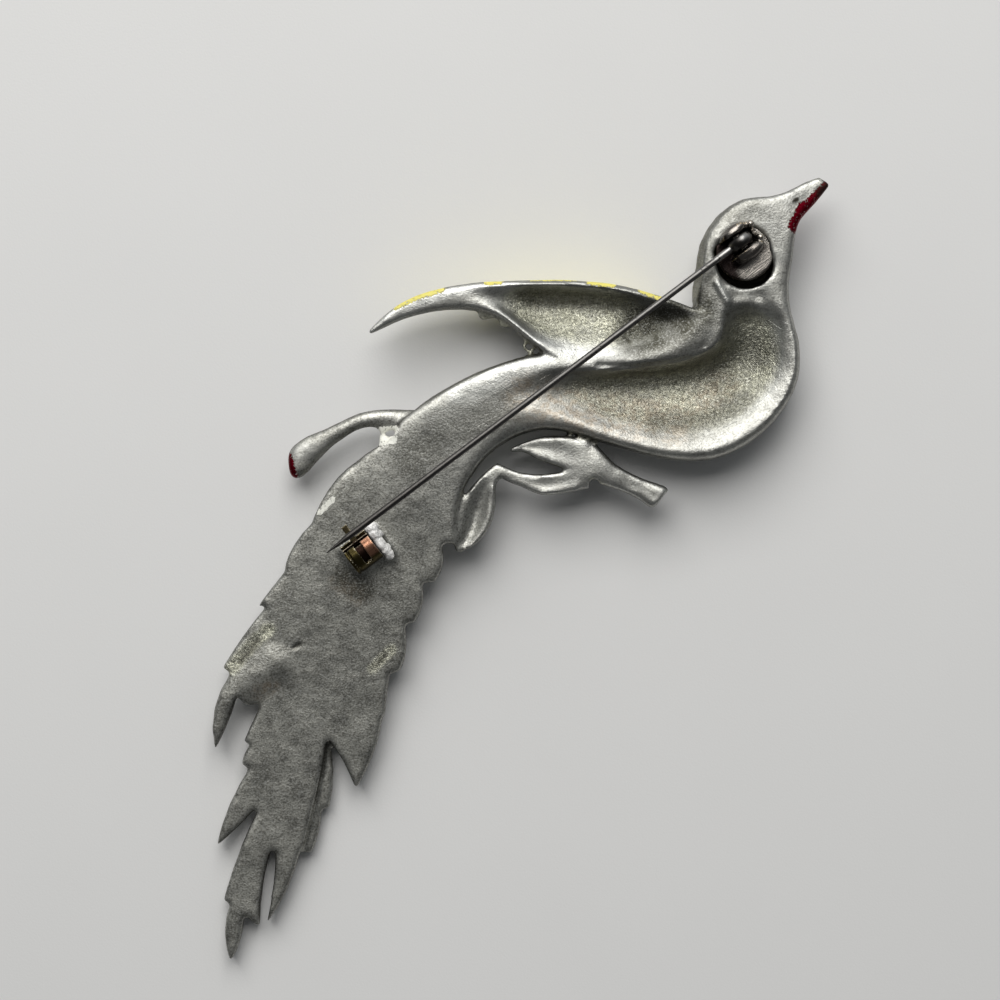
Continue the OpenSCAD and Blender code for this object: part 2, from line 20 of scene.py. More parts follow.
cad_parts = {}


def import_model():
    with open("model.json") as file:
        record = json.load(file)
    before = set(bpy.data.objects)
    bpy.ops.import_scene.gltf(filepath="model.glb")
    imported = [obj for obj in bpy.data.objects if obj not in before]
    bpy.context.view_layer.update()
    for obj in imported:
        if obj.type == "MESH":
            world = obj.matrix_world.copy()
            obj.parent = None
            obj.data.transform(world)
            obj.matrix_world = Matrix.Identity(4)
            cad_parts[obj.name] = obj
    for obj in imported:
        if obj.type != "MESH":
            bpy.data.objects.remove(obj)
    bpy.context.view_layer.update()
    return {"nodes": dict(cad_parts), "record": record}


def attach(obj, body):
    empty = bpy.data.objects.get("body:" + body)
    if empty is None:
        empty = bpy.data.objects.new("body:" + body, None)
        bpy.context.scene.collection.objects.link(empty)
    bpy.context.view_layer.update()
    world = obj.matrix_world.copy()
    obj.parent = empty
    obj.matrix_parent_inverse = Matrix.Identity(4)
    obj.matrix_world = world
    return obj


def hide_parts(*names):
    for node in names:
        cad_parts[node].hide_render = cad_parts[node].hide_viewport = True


LOG = logging.getLogger("brooch")
MM = 0.001

CREASE = math.radians(40)

Point = tuple[float, float]
Colour = tuple[float, float, float]
Place = tuple[float, float, float]
Array = np.ndarray
Piece = bpy.types.Object
Socket = bpy.types.NodeSocket

# Seen from above, in millimetres: the pin's direction from rivet to point, the body's
# from tail to head with the place it is measured from, and lines used more than once.
PIN_WAY: Point = (-0.79873777, -0.6016793)
BODY_WAY: Point = (0.8, 0.6)
BODY_FROM: Point = (-9.0, 13.0)
WING_EDGE = (
    (-16.2, 26.3), (-13.0, 29.0), (-8.0, 31.2), (-3.0, 32.0), (3.0, 32.3), (8.0, 31.8),
    (12.0, 30.9),
)
TAIL_GROOVE = ((-31.6, -10.7), (-29.5, -8.1), (-27.5, -6.4))
TAIL_PIT = ((-24.7, -8.4), (-24.1, -8.0))
NECK_RIDGE = ((21.7, 31.7), (22.9, 29.6))
BRANCH_END = ((-25.4, 12.7), (-24.8, 10.6))


class Side(Enum):
    """Side of the casting that a painted patch keeps to."""

    BACK = "back"
    FRONT = "front"
    BOTH = "both"


@dataclass(frozen=True)
class Patch:
    """A stretch of surface along a line seen from above.

    Attributes:
        line: corners of the line, in millimetres.
        reach: distance from the line that is fully covered.
        soft: width over which the cover fades out.
        side: side of the casting that it keeps to.
        full: cover on the line.
    """

    line: tuple[Point, ...]
    reach: float
    soft: float
    side: Side = Side.BOTH
    full: float = 1.0


@dataclass(frozen=True)
class Stroke:
    """A ridge or groove pressed into the back along a line seen from above.

    Attributes:
        line: corners of the line, in millimetres.
        width: distance over which it fades out on each side.
        height: rise of its crest, below zero for a groove.
    """

    line: tuple[Point, ...]
    width: float
    height: float


@dataclass(frozen=True)
class Lump:
    """A rounded lump that melts into a piece.

    Attributes:
        at: its middle: along the pin, across it and up, from the place given.
        size: its half widths the same way.
    """

    at: Place
    size: Place


@dataclass(frozen=True)
class Axes:
    """Place and directions of a joint, seen from above.

    Attributes:
        middle: the joint's middle, in millimetres.
        along: unit direction of the pin, from its rivet to its point.
    """

    middle: Place
    along: Point

    @classmethod
    def of_joint(cls, record: dict, name: str, along: Point) -> "Axes":
        """Reads a joint's middle from the record.

        Args:
            record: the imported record.
            name: name of the joint.
            along: direction of the pin.

        Returns:
            The joint's axes.
        """
        joint = next(j for j in record["behaviour"]["joints"] if j["name"] == name)
        return cls(tuple(c / MM for c in joint["pos_m"]), along)

    @property
    def across(self) -> Point:
        """Direction across the pin, to the lower right."""
        return -self.along[1], self.along[0]

    @property
    def turn(self) -> float:
        """Angle of the pin's direction from X, in radians."""
        return math.atan2(self.along[1], self.along[0])

    def place(self, at: Place) -> Vector:
        """Point at distances along, across and up from the middle."""
        way, side = Vector((*self.along, 0)), Vector((*self.across, 0))
        return Vector(self.middle) + way * at[0] + side * at[1] + Vector((0, 0, at[2]))

    def spread(self, co: Array) -> tuple[Array, Array]:
        """Distances of places along and across the pin.

        Args:
            co: places, one row each.

        Returns:
            Distances along and across.
        """
        away = co[:, :2] - np.array(self.middle[:2])
        return away @ np.array(self.along), away @ np.array(self.across)


def line_distance(places: Array, line: tuple[Point, ...]) -> Array:
    """Distance of each place from a line of straight pieces, seen from above.

    Args:
        places: rows of x, y and z.
        line: corners of the line.

    Returns:
        One distance for each row.
    """
    corners = np.array(line, float)
    best = np.full(len(places), np.inf)
    for start, end in zip(corners[:-1], corners[1:]):
        way = end - start
        share = np.clip(((places[:, :2] - start) @ way) / (way @ way), 0, 1)
        foot = start + share[:, None] * way
        best = np.minimum(best, np.hypot(*(places[:, :2] - foot).T))
    return best


def smooth_step(values: Array, low: float, high: float) -> Array:
    """Rises smoothly from 0 at low to 1 at high, also where low is the larger."""
    share = np.clip((values - low) / (high - low), 0, 1)
    return share * share * (3 - 2 * share)


def cover(co: Array, normal: Array, patches: tuple[Patch, ...]) -> Array:
    """Share of cover that several patches give.

    Args:
        co: places of the points.
        normal: their normals.
        patches: the patches.

    Returns:
        A share for each point.
    """
    up = normal[:, 2]
    keep = {Side.BACK: smooth_step(up, 0.1, 0.4), Side.FRONT: smooth_step(up, -0.25, -0.6),
            Side.BOTH: 1.0}
    share = np.zeros(len(co))
    for patch in patches:
        near = smooth_step(line_distance(co, patch.line), patch.reach + patch.soft, patch.reach)
        share = np.maximum(share, patch.full * near * keep[patch.side])
    return share


def toward_head(co: Array) -> Array:
    """Distance of each place up the body from the root of the tail, seen from above."""
    return (co[:, :2] - np.array(BODY_FROM)) @ np.array(BODY_WAY)


def tinted(colour: Colour, factor: float) -> Colour:
    """Makes a colour lighter or darker."""
    return tuple(factor * part for part in colour)


def add_object(name: str, data: bpy.types.ID) -> Piece:
    """Puts new data into the scene as an object."""
    made = bpy.data.objects.new(name, data)
    bpy.context.scene.collection.objects.link(made)
    return made


def select_only(piece: Piece) -> None:
    """Makes the piece the only selected object and the active one."""
    bpy.ops.object.select_all(action="DESELECT")
    piece.select_set(True)
    bpy.context.view_layer.objects.active = piece


def apply_modifier(piece: Piece, kind: str, **settings: object) -> None:
    """Adds one modifier, sets it up and applies it.

    Args:
        piece: the mesh object.
        kind: the modifier's type.
        settings: its properties.
    """
    select_only(piece)
    modifier = piece.modifiers.new(kind.lower(), kind)
    for key, value in settings.items():
        setattr(modifier, key, value)
    bpy.ops.object.modifier_apply(modifier=modifier.name)


def points(piece: Piece) -> tuple[Array, Array]:
    """Places and normals of the piece's points.

    Args:
        piece: the mesh object.

    Returns:
        Two arrays with a row for each point.
    """
    count = len(piece.data.vertices)
    co = np.zeros(count * 3)
    normal = np.zeros(count * 3)
    piece.data.vertices.foreach_get("co", co)
    piece.data.vertices.foreach_get("normal", normal)
    return co.reshape(-1, 3), normal.reshape(-1, 3)


def spread_out(piece: Piece, values: Array, rounds: int) -> Array:
    """Lets one number for each point run out to the points around it.

    Args:
        piece: the mesh object.
        values: one number for each point.
        rounds: rounds in which each point takes the mean of its neighbours.

    Returns:
        The softened numbers.
    """
    ends = np.zeros(len(piece.data.edges) * 2, dtype=np.int64)
    piece.data.edges.foreach_get("vertices", ends)
    first, second = ends.reshape(-1, 2).T
    count = len(values)
    near = np.maximum(np.bincount(first, minlength=count) + np.bincount(second, minlength=count), 1)
    for _ in range(rounds):
        total = (np.bincount(first, values[second], minlength=count)
                 + np.bincount(second, values[first], minlength=count))
        values = 0.5 * values + 0.5 * total / near
    return values


def store(piece: Piece, name: str, values: Array) -> None:
    """Stores one number for each point of the piece."""
    layer = piece.data.attributes.new(name, "FLOAT", "POINT")
    layer.data.foreach_set("value", values.astype(np.float32))


def weigh(piece: Piece, name: str, weights: Array, least: float) -> str:
    """Gives the piece a vertex group.

    Args:
        piece: the mesh object.
        name: name of the group.
        weights: one weight for each point.
        least: weight up to which a point is left out.

    Returns:
        The group's name.
    """
    group = piece.vertex_groups.new(name=name)
    for vertex in np.nonzero(weights > least)[0]:
        group.add([int(vertex)], float(weights[vertex]), "REPLACE")
    return group.name


def move_points(piece: Piece, co: Array) -> None:
    """Puts the piece's points at new places, a row for each."""
    piece.data.vertices.foreach_set("co", co.ravel())
    piece.data.update()


def edit(piece: Piece, step: Callable, chosen: Array | None = None, **settings: object) -> None:
    """Runs one step of edit mode on the piece.

    Args:
        piece: the mesh object.
        step: the step's operator.
        chosen: true or false for each point, all of them if left out.
        settings: the operator's settings.
    """
    select_only(piece)
    bpy.ops.object.mode_set(mode="EDIT")
    bpy.ops.mesh.select_mode(type="VERT")
    bpy.ops.mesh.select_all(action="SELECT" if chosen is None else "DESELECT")
    if chosen is not None:
        bpy.ops.object.mode_set(mode="OBJECT")
        piece.data.vertices.foreach_set("select", chosen.tolist())
        bpy.ops.object.mode_set(mode="EDIT")
    step(**settings)
    bpy.ops.object.mode_set(mode="OBJECT")


def ball(axes: Axes, lump: Lump) -> Piece:
    """Models one lump as a stretched ball.

    Args:
        axes: the joint that it is placed from.
        lump: the lump.

    Returns:
        The ball.
    """
    bpy.ops.mesh.primitive_uv_sphere_add(
        segments=20, ring_count=12, radius=1, location=axes.place(lump.at),
        rotation=(0, 0, axes.turn), scale=lump.size)
    bpy.ops.object.transform_apply()
    return bpy.context.active_object


def join(piece: Piece, others: list[Piece]) -> None:
    """Joins other mesh objects to the piece."""
    select_only(piece)
    for other in others:
        other.select_set(True)
    bpy.ops.object.join()


def remesh(piece: Piece, voxel: float, rounding: int) -> None:
    """Melts what was joined to one skin and softens it.

    Args:
        piece: the piece.
        voxel: size of the new faces.
        rounding: rounds of smoothing.
    """
    apply_modifier(piece, "REMESH", mode="VOXEL", voxel_size=voxel)
    apply_modifier(piece, "SMOOTH", iterations=rounding)
    for face in piece.data.polygons:
        face.use_smooth = True


def copy_in_millimetres(node: Piece, name: str) -> Piece:
    """Copies a node of the frame as a merged mesh in millimetres.

    Args:
        node: the node of the frame, which stays as it is.
        name: name of the new piece.

    Returns:
        The new piece.
    """
    piece = add_object(name, node.data.copy())
    piece.data.materials.clear()
    piece.data.transform(Matrix.Scale(1 / MM, 4))
    edit(piece, bpy.ops.mesh.remove_doubles, threshold=0.001)
    return piece


def finish_piece(piece: Piece, body: str, replaced: tuple[str, ...]) -> None:
    """Brings a piece to metres and puts it on its body.

    Args:
        piece: the piece, in millimetres.
        body: the body that it rides on.
        replaced: the nodes that it stands for.
    """
    piece.data.transform(Matrix.Scale(MM, 4))
    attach(piece, body)
    if replaced:
        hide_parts(*replaced)
    LOG.info("%s: %d faces on body %s", piece.name, len(piece.data.polygons), body)


class Recipe:
    """Writes the node tree of one material, with places in millimetres."""

    def __init__(self, name: str) -> None:
        """Starts a material with its surface shader.

        Args:
            name: name of the material.
        """
        self.material = bpy.data.materials.new(name)
        self.material.use_nodes = True
        self.tree = self.material.node_tree
        self.shader = self.tree.nodes["Principled BSDF"]
        place = self.node("TexCoord").outputs["Object"]
        self.place = self.node("Mapping", Vector=place, Scale=(1 / MM,) * 3).outputs["Vector"]

    def put(self, socket: Socket, value: object) -> None:
        """Links a socket to another one, or sets its number or colour.

        Args:
            socket: the socket to feed.
            value: a socket, a number, a colour or a vector.
        """
        if isinstance(value, Socket):
            self.tree.links.new(value, socket)
        elif socket.type == "RGBA" and len(value) == 3:
            socket.default_value = (*value, 1)
        else:
            socket.default_value = value

    def node(self, kind: str, **inputs: object) -> bpy.types.Node:
        """Adds a node and feeds its inputs.

        Args:
            kind: the node's type, without its first word.
            inputs: what goes into each input.

        Returns:
            The node.
        """
        node = self.tree.nodes.new(f"ShaderNode{kind}")
        for name, value in inputs.items():
            self.put(node.inputs[name], value)
        return node

    def turned(self, degrees: float, stretch: Place) -> Socket:
        """Places turned about Z and stretched, for grain that runs one way.

        Args:
            degrees: turn about Z.
            stretch: scale along each axis after the turn.

        Returns:
            The new places.
        """
        node = self.node("Mapping", Vector=self.place, Rotation=(0, 0, math.radians(degrees)),
                         Scale=tuple(1 / s for s in stretch))
        node.vector_type = "TEXTURE"
        return node.outputs["Vector"]

    def noise(self, scale: float, detail: float = 2, rough: float = 0.5,
              place: Socket | None = None, distortion: float = 0) -> Socket:
        """Soft noise from about 0.25 to 0.75.

        Args:
            scale: cells per millimetre.
            detail: finer layers on top.
            rough: strength of the finer layers.
            place: places to read, the plain ones if left out.
            distortion: how much the noise is warped.

        Returns:
            The noise.
        """
        node = self.node("TexNoise", Vector=place or self.place, Scale=scale, Detail=detail,
                         Roughness=rough, Distortion=distortion)
        return node.outputs["Fac"]

    def cells(self, scale: float) -> Socket:
        """Distance to the nearest of scattered points.

        Args:
            scale: points per millimetre.

        Returns:
            The distance.
        """
        return self.node("TexVoronoi", Vector=self.place, Scale=scale).outputs["Distance"]

    def span(self, value: Socket, low: float, high: float,
             to_low: float = 0, to_high: float = 1) -> Socket:
        """Brings a value from one span to another, smoothly and clamped.

        Args:
            value: the value.
            low: start of its span.
            high: end of its span.
            to_low: result at the start.
            to_high: result at the end.

        Returns:
            The new value.
        """
        node = self.node("MapRange", Value=value)
        node.interpolation_type = "SMOOTHSTEP"
        for socket, number in zip(node.inputs[1:5], (low, high, to_low, to_high)):
            socket.default_value = number
        return node.outputs["Result"]

    def math(self, operation: str, first: object, second: object = 0.0) -> Socket:
        """One step of arithmetic.

        Args:
            operation: the step's name.
            first: first value.
            second: second value.

        Returns:
            The result.
        """
        node = self.node("Math")
        node.operation = operation
        self.put(node.inputs[0], first)
        self.put(node.inputs[1], second)
        return node.outputs["Value"]

    def times(self, first: object, second: object) -> Socket:
        """Product of two values."""
        return self.math("MULTIPLY", first, second)

    def mix(self, share: object, first: object, second: object) -> Socket:
        """Mixes two colours.

        Args:
            share: share of the second colour.
            first: first colour.
            second: second colour.

        Returns:
            The mixed colour.
        """
        node = self.node("Mix", Factor=share)
        node.data_type = "RGBA"
        self.put(node.inputs[6], first)
        self.put(node.inputs[7], second)
        return node.outputs[2]

    def blend(self, share: object, first: object, second: object) -> Socket:
        """Mixes two numbers, as mix does with colours."""
        node = self.node("Mix", Factor=share)
        self.put(node.inputs[2], first)
        self.put(node.inputs[3], second)
        return node.outputs[0]

    def attribute(self, name: str) -> Socket:
        """A number that the mesh carries at each point."""
        node = self.node("Attribute")
        node.attribute_name = name
        return node.outputs["Fac"]

    def pointiness(self) -> Socket:
        """How sharp the surface is: above a half on edges, below in corners."""
        return self.node("NewGeometry").outputs["Pointiness"]

    def bump(self, height: Socket, depth: float, under: Socket | None = None) -> Socket:
        """Bump from a height.

        Args:
            height: the height, from 0 to 1.
            depth: millimetres that a height of 1 stands for.
            under: a bump that this one lies on.

        Returns:
            The bent normal.
        """
        node = self.node("Bump", Height=height, Distance=depth * MM)
        if under is not None:
            self.put(node.inputs["Normal"], under)
        return node.outputs["Normal"]

    def surface(self, colour: object, rough: object, metal: object, normal: object) -> None:
        """Feeds the surface shader.

        Args:
            colour: base colour.
            rough: roughness.
            metal: share of metal.
            normal: the bent normal.
        """
        self.put(self.shader.inputs["Base Color"], colour)
        self.put(self.shader.inputs["Roughness"], rough)
        self.put(self.shader.inputs["Metallic"], metal)
        self.put(self.shader.inputs["Normal"], normal)


@dataclass(frozen=True)
class CastFinish:
    """Bare cast white metal with tarnish, grime, painted shade and painted highlights, solder and
    worn enamel, of which the red is clear.
    """

    dull: Colour = (0.335, 0.332, 0.3)
    bright: Colour = (0.62, 0.625, 0.6)
    olive: Colour = (0.64, 0.635, 0.51)
    brown: Colour = (0.36, 0.29, 0.21)
    # Near black of grime and pits, and of painted shade in creases and in the plate's well
    grime_and_shade: Colour = (0.035, 0.032, 0.026)
    solder: Colour = (0.93, 0.92, 0.9)
    yellow: Colour = (0.74, 0.66, 0.15)
    red: Colour = (0.115, 0.002, 0.008)
    white: Colour = (0.82, 0.82, 0.75)
    # Dark olive of painted shade and of darker tarnish
    shade_and_tarnish: Colour = (0.058, 0.057, 0.045)

    def scratches(self, recipe: Recipe) -> Socket:
        """Short fine scratches in three directions, most where the metal is worn and where
        highlights are painted.

        Args:
            recipe: the material's writer.

        Returns:
            Their height, 1 in a scratch.
        """
        total: object = 0.0
        for degrees, length, limit in ((28, 0.22, 0.69), (-35, 0.3, 0.7), (75, 0.26, 0.71)):
            place = recipe.turned(degrees, (length, 6.0, 1.0))
            line = recipe.span(recipe.noise(1, 1, 0.4, place), limit, limit + 0.05)
            total = recipe.math("MAXIMUM", total, line)
        wear_and_highlight = recipe.span(recipe.attribute("wear_and_highlight"), 0.1, 0.7, 0.05, 0.8)
        return recipe.times(total, wear_and_highlight)

    def metal(self, r: Recipe, shine: object, scratches: object, grain: object) -> Socket:
        """Colour of the bare metal with its tarnish and grime, its painted shade and its painted
        highlights.

        Args:
            r: the material's writer.
            shine: share of bright worn metal and of painted highlights.
            scratches: share of scratches.
            grain: the fine grain.

        Returns:
            The colour.
        """
        cloud = r.noise(0.45, 4, 0.6)
        blotch = r.noise(1.3, 3, 0.6)
        dull = r.mix(r.span(cloud, 0.35, 0.62), tinted(self.dull, 0.75), tinted(self.dull, 1.28))
        colour = r.mix(shine, dull, self.bright)
        colour = r.mix(r.times(scratches, 0.5), colour, self.bright)
        # Olive tarnish in the hollows
        shade_and_tarnish = r.times(r.attribute("hollow"), r.span(cloud, 0.3, 0.65, 0.5, 1.0))
        flecks = r.span(r.noise(2.1, 4, 0.72), 0.4, 0.6)
        olive = r.mix(flecks, tinted(self.olive, 0.68), tinted(self.olive, 1.2))
        colour = r.mix(shade_and_tarnish, colour, olive)
        brown = r.times(r.attribute("brown"), r.span(blotch, 0.42, 0.6, 0.15, 0.6))
        colour = r.mix(brown, colour, self.brown)
        pits = r.span(r.cells(1.1), 0.12, 0.06)
        # Darker in creases: painted shade taken from how sharp the surface is, joined by pits, dark
        # blotches and grime
        corner = r.span(r.pointiness(), 0.49, 0.455)
        dark = r.math("MAXIMUM", r.times(corner, 0.75), r.times(pits, 0.45))
        dark = r.math("MAXIMUM", dark, r.times(r.span(blotch, 0.5, 0.3), 0.22))
        dark = r.math("MAXIMUM", dark, r.attribute("grime_and_shade"))
        # Painted shade and darker tarnish, from the patches and the side walls
        darkened_share = r.times(r.attribute("shade_and_tarnish"), r.span(cloud, 0.3, 0.6, 0.7, 1.0))
        colour = r.mix(darkened_share, colour, self.shade_and_tarnish)
        colour = r.mix(dark, colour, self.grime_and_shade)
        clean = r.math("SUBTRACT", 1.0, r.attribute("grime_and_shade"))
        coarse = r.times(r.span(r.attribute("wear_and_highlight"), 0.15, 0.6, 1.0, 0.35), clean)
        specks = r.times(r.span(grain, 0.5, 0.62, 0.0, 0.45), coarse)
        colour = r.mix(specks, colour, self.grime_and_shade)
        glints = r.times(r.span(grain, 0.48, 0.38, 0.0, 0.35), coarse)
        return r.mix(glints, colour, self.bright)

    def material(self) -> bpy.types.Material:
        """Builds the material.

        Returns:
            The cast metal.
        """
        r = Recipe("cast_white_metal")
        grain = r.noise(5.0, 3, 0.62)
        scratches = self.scratches(r)
        # Sharp edges lighter where the metal is worn: worn edges, painted as edge highlights
        edge = r.span(r.pointiness(), 0.505, 0.53)
        wear_and_highlight = r.attribute("wear_and_highlight")
        shine = r.times(wear_and_highlight, r.span(r.noise(0.6, 3, 0.6), 0.3, 0.7, 0.65, 1.1))
        edge = r.times(edge, r.span(wear_and_highlight, 0.1, 0.6, 0.15, 0.8))
        shine = r.math("MAXIMUM", shine, edge)
        colour: object = self.metal(r, shine, scratches, grain)

        chips = r.math("SUBTRACT", r.noise(4.5, 4, 0.7), 0.52)
        coat: object = 0.0
        opaque: object = 0.0
        for name, paint in (("yellow", self.yellow), ("red", self.red), ("white", self.white)):
            area = r.math("ADD", r.attribute(name), r.times(chips, 2.6))
            share = r.span(area, 0.5, 0.72)
            colour = r.mix(share, colour, paint)
            coat = r.math("MAXIMUM", coat, share)
            opaque = opaque if paint is self.red else r.math("MAXIMUM", opaque, share)
        colour = r.mix(r.times(r.attribute("grime_and_shade"), 0.75), colour, self.grime_and_shade)
        solder = r.math("ADD", r.attribute("solder"), r.times(chips, 0.5))
        solder = r.span(solder, 0.4, 0.55)
        colour = r.mix(solder, colour, self.solder)
        rough: object = r.blend(shine, 0.46, 0.36)
        rough = r.blend(scratches, rough, 0.35)
        rough = r.blend(solder, rough, 0.3)
        rough = r.blend(coat, rough, 0.45)

        fibres = r.times(r.noise(3.2, 3, 0.7, distortion=1.2), 4.0)
        fibres = r.times(r.attribute("hollow"), fibres)
        drops = r.times(r.noise(1.1, 3, 0.6), r.times(solder, 6.0))
        waves = r.math("ADD", fibres, r.noise(1.2, 2, 0.5))
        height = r.math("ADD", r.math("ADD", grain, drops), waves)
        height = r.math("SUBTRACT", height, r.times(scratches, 0.5))
        normal = r.bump(coat, 0.05, r.bump(height, 0.034))
        bare = r.math("SUBTRACT", 1.0, r.math("MAXIMUM", opaque, r.times(solder, 0.9)))
        r.surface(colour, rough, bare, normal)
        return r.material


@dataclass(frozen=True)
class Zone:
    """A stretch of a piece that has the finish's second colour.

    Attributes:
        along: start and end along the pin, from the joint's middle.
        across: start and end across the pin.
        soft: width over which it fades out.
        full: share of the second colour inside it.
    """

    along: tuple[float, float]
    across: tuple[float, float] = (-9.0, 9.0)
    soft: float = 0.15
    full: float = 1.0

    def cover(self, along: Array, across: Array) -> Array:
        """Share of cover at distances along and across the pin."""
        share = np.full(len(along), self.full)
        for values, (low, high) in ((along, self.along), (across, self.across)):
            share *= smooth_step(values, low - self.soft, low + self.soft)
            share *= smooth_step(values, high + self.soft, high - self.soft)
        return share


@dataclass(frozen=True)
class PlainMetal:
    """A drawn or pressed metal with stains, and worn edges painted light as highlights.

    Attributes:
        name: name of the material.
        edge: colour of its worn edges, which also stands for their highlights.
        grain: depth of the fine grain, in millimetres.
        stained: share that the stains take.
        second: colour inside the zones.
        zones: where the second colour goes.
        turn: degrees that fine drawn lines run at, seen from above.
        drawn: strength of those lines.
        edge_from: sharpness from which an edge counts as worn and gets a painted highlight.
    """

    name: str
    base: Colour
    stain: Colour
    edge: Colour
    rough: float
    grain: float
    stained: float
    second: Colour
    zones: tuple[Zone, ...]
    turn: float = 37
    drawn: float = 0.5
    edge_from: float = 0.515

    def material(self) -> bpy.types.Material:
        """Builds the material.

        Returns:
            The metal.
        """
        r = Recipe(self.name)
        cloud = r.noise(1.6, 4, 0.6)
        lines = r.noise(1, 2, 0.5, r.turned(self.turn, (0.35, 9.0, 3.0)))
        share = r.span(cloud, 0.62 - self.stained * 0.4, 0.72 - self.stained * 0.2)
        share = r.math("MAXIMUM", share, r.times(r.span(lines, 0.55, 0.7), self.drawn))
        # Sharp edges take the edge colour: worn edges painted light as edge highlights
        edge = r.span(r.pointiness(), self.edge_from, self.edge_from + 0.05)
        wear_and_highlight = r.times(edge, r.span(cloud, 0.3, 0.6, 0.4, 1.0))
        zone = r.times(r.attribute("zone"), r.span(cloud, 0.25, 0.5, 0.6, 1.0))
        colour = r.mix(share, r.mix(zone, self.base, self.second), self.stain)
        colour = r.mix(wear_and_highlight, colour, self.edge)
        rough = r.blend(share, self.rough, min(1, self.rough + 0.2))
        height = r.math("ADD", r.noise(9, 3, 0.6), r.times(lines, 2 * self.drawn))
        r.surface(colour, rough, 1.0, r.bump(height, self.grain))
        return r.material


# Ridges and grooves of the back
STROKES = (
    Stroke(((-33.7, -17.9), (-32.6, -15.0), (-30.9, -12.9), (-29.0, -11.6), (-27.0, -10.2)),
           2.8, 0.34),
    Stroke(TAIL_GROOVE, 0.9, -0.16),
    Stroke(((-14.0, -8.6), (-15.0, -9.5), (-16.0, -10.7)), 0.9, -0.14),
    Stroke(((23.9, 30.2), (26.1, 30.3)), 1.4, -0.2),
    Stroke(NECK_RIDGE, 0.6, 0.3),
    Stroke(((8.8, 22.6), (13.4, 22.6), (16.5, 22.95), (18.8, 23.5)), 0.5, -0.18),
    Stroke(((10.2, 21.85), (11.9, 22.1), (15.0, 22.2), (17.3, 22.5), (18.2, 22.8)), 0.4, 0.32),
    Stroke(TAIL_PIT, 0.3, -0.2),
)
# Patches of the casting, in millimetres seen from above: painted shade with some dark
# tarnish, the branch (which isn't hollow), rubbed metal with painted highlights on lit
# ridges, stained grooves, brown stains with a brown painted shadow under the catch, and
# black grime and pits with painted shade in the tail's grooves
# Mostly painted shade in the tops and ends of the hollows and by the neck and body, with some
# darker tarnish
SHADED_AND_TARNISHED = (
    Patch(((13.6, 26.4), (16.4, 27.2), (18.8, 28.9)), 1.7, 3.0, Side.BACK),
    Patch(((19.6, 36.0), (20.2, 31.0), (19.6, 28.4)), 0.6, 2.2, Side.BACK, 0.6),
    Patch(((22.0, 38.6), (25.8, 40.0)), 0.2, 2.2, Side.BACK, 0.6),
    Patch(((-11.5, 12.5), (-7.5, 15.5), (-2.0, 17.5)), 0.8, 3.0, Side.BACK, 0.6),
    Patch(((4.6, 21.9), (13.4, 21.2), (19.6, 21.9), (23.0, 25.5), (23.9, 28.6)),
          0.7, 2.4, Side.BACK, 0.45),
    Patch(((1.3, 30.5), (9.0, 30.7), (14.5, 29.4)), 0.5, 2.0, Side.BACK, 0.7),
    Patch(((22.4, 22.2), (25.6, 24.4)), 1.4, 2.2, Side.BACK, 0.55),
    Patch(((15.5, 15.9), (20.5, 15.9), (24.5, 18.5)), 0.7, 1.8, Side.BACK, 0.6),
    # Painted shadow under the catch
    Patch(((-19.2, -0.4), (-17.0, -2.0)), 0.7, 1.4, Side.BACK, 0.75),
)
BRANCH = (
    Patch(((0.0, 13.0), (5.0, 13.4), (9.0, 12.0), (13.0, 9.6), (16.5, 8.2)), 1.6, 0.4),
    Patch(((-5.5, 5.0), (-4.9, 10.8), (0.5, 10.0), (6.0, 9.6)), 1.8, 0.4),
)
# Rubbed metal, with painted highlights on lit ridges: the rim between the hollows, the neck's ridge
# and the top of the branch's arm
RUBBED_AND_HIGHLIGHTED = (
    Patch(((-6.0, 20.5), (1.0, 23.6), (9.0, 23.9)), 1.2, 3.0, Side.BACK, 0.8),
    Patch(WING_EDGE, 0.9, 0.7, Side.BACK, 0.9),
    Patch(NECK_RIDGE, 0.2, 0.4, Side.BACK, 0.9),
    Patch(((-24.2, 13.2), (-20.0, 13.6)), 0.6, 1.0, Side.BACK, 0.45),
)
GROOVES = (
    Patch(TAIL_GROOVE, 0.4, 0.7, Side.BACK),
    Patch(((-14.0, -8.6), (-16.0, -10.7)), 0.3, 0.6, Side.BACK),
)
BROWNED = (
    Patch(((1.0, 19.2), (8.5, 17.4), (17.0, 16.6)), 1.2, 2.6, Side.BACK),
    Patch(((19.5, 18.2), (22.5, 20.5)), 0.8, 2.0, Side.BACK),
    Patch(((-28.6, -13.3), (-27.2, -12.6)), 0.3, 1.0, Side.BACK),
    # Brown painted shadow under the catch
    Patch(((-19.6, -1.0), (-17.4, -2.6)), 0.4, 1.2, Side.BACK),
)
DARK_PATCHES = (
    Patch(((33.4, 41.6), (34.6, 42.8)), 0.2, 1.1),
    Patch(((30.2, 40.6), (30.5, 40.8)), 0.1, 0.25, Side.BACK),
    Patch(TAIL_PIT, 0.12, 0.25, Side.BACK, 0.55),
    # These two: painted shade in the tail's grooves
    Patch(((-30.6, -9.9), (-28.7, -7.6)), 0.0, 0.7, Side.BACK, 0.55),
    Patch(((-14.6, -9.2), (-15.6, -10.3)), 0.0, 0.6, Side.BACK, 0.55),
)
